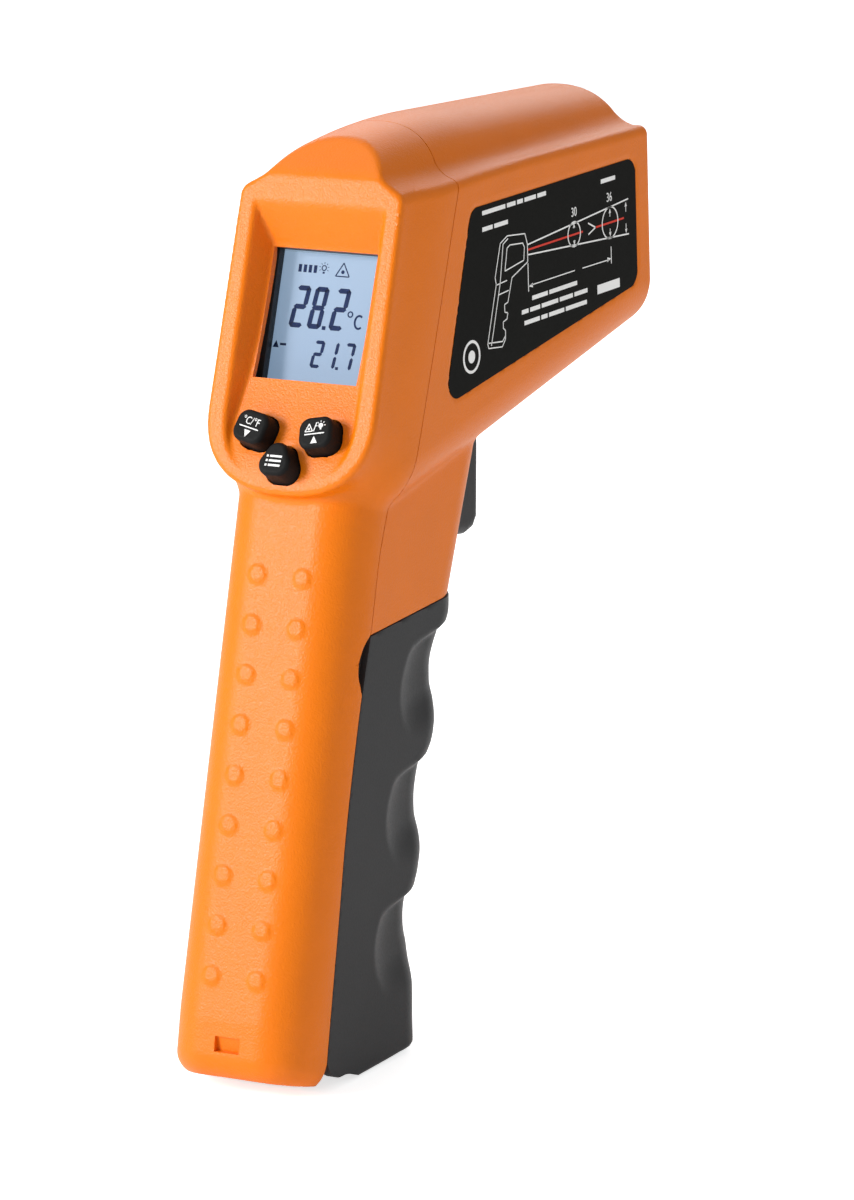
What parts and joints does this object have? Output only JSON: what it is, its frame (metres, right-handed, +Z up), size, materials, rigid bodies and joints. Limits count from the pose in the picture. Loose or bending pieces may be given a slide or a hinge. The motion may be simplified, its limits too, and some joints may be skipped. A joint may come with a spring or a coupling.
{
  "type": "infrared thermometer",
  "caption": "Pistol-grip infrared thermometer with a tilted display, rubber keys, trigger, grooved battery door and a sealed lens barrel with pointer laser.",
  "frame": {"origin": "centre of the grip's flat foot, on the plane of mirror symmetry", "axes": "+X to the right seen from behind, +Y along the aim of the barrel, +Z up with the barrel level"},
  "size_m": [0.035, 0.1211, 0.1568],
  "materials": {
    "orange_shell": "satin moulded, fine texture",
    "black_plastic": "satin moulded",
    "key_rubber": "matt",
    "label_film": "semi-gloss printed film",
    "clear_plastic": "clear, polished",
    "lcd_glass": "pale blue lit display",
    "white_plastic": "satin",
    "circuit_board": "solder mask",
    "chip_epoxy": "matt",
    "plated_steel": "plated",
    "brass": "turned",
    "infrared_glass": "dark infrared window",
    "red_glass": "red filter",
    "cell_wrap": "printed wrap over a metal can",
    "red_wire": "insulated wire"
  },
  "bodies": {
    "housing": {"rear_cover": "orange_shell", "front_housing": "orange_shell", "side_label_right": "label_film", "side_label_left": "label_film", "door_hinge_pin": "plated_steel", "trigger_pivot_pin": "plated_steel", "trigger_spring": "plated_steel", "trigger_switch": "chip_epoxy", "display_window": "clear_plastic", "lcd_frame": "black_plastic", "lcd_panel": "lcd_glass", "backlight_diffuser": "white_plastic", "connector_strip": "key_rubber", "main_board": "circuit_board", "controller_chip": "chip_epoxy", "board_screw_1": "plated_steel", "board_screw_2": "plated_steel", "key_contact_left": "plated_steel", "key_contact_right": "plated_steel", "key_contact_mode": "plated_steel", "keypad_web": "key_rubber", "keypad_board": "circuit_board", "nose_ring": "black_plastic", "infrared_lens": "infrared_glass", "lens_tube": "black_plastic", "infrared_sensor": "plated_steel", "sensor_board": "circuit_board", "laser_window": "red_glass", "laser_module": "brass", "laser_clip": "black_plastic", "buzzer": "chip_epoxy", "battery_tray": "black_plastic", "battery_1": "cell_wrap", "battery_2": "cell_wrap", "battery_spring_1": "plated_steel", "battery_spring_2": "plated_steel", "battery_lead_1": "red_wire", "battery_lead_2": "chip_epoxy", "contact_bridge": "plated_steel", "case_screw_1": "plated_steel", "case_screw_2": "plated_steel"},
    "door": {"battery_door": "black_plastic"},
    "trigger_lever": {"trigger": "black_plastic"},
    "plunger": {"switch_plunger": "white_plastic"},
    "key_left": {"button_left": "key_rubber"},
    "key_right": {"button_right": "key_rubber"},
    "key_mode": {"button_mode": "key_rubber"}
  },
  "joints": [
    {"name": "trigger_pull", "type": "hinge", "parent": "housing", "child": "trigger_lever", "pos_m": [0, 0.0475, 0.1054], "axis": [-1, 0, 0], "range_deg": [0, 7], "stiffness_Nm_per_rad": 0.4, "springref_deg": -5.73},
    {"name": "plunger_travel", "type": "slide", "parent": "housing", "child": "plunger", "axis": [0, -1, 0], "range_m": [0, 0.0019]},
    {"name": "battery_door_swing", "type": "hinge", "parent": "housing", "child": "door", "pos_m": [0, -0.008, 0.0049], "axis": [-1, 0, 0], "range_deg": [0, 76]},
    {"name": "left_press", "type": "slide", "parent": "housing", "child": "key_left", "axis": [0, 0.8544, -0.5196], "range_m": [0, 0.0008], "stiffness_N_per_m": 400, "springref_m": -0.0006},
    {"name": "right_press", "type": "slide", "parent": "housing", "child": "key_right", "axis": [0, 0.8544, -0.5196], "range_m": [0, 0.0008], "stiffness_N_per_m": 400, "springref_m": -0.0006},
    {"name": "mode_press", "type": "slide", "parent": "housing", "child": "key_mode", "axis": [0, 0.8544, -0.5196], "range_m": [0, 0.0008], "stiffness_N_per_m": 400, "springref_m": -0.0006}
  ],
  "couplings": [
    {"joint": "plunger_travel", "follows": "trigger_pull", "m_per_rad": 0.0154}
  ]
}
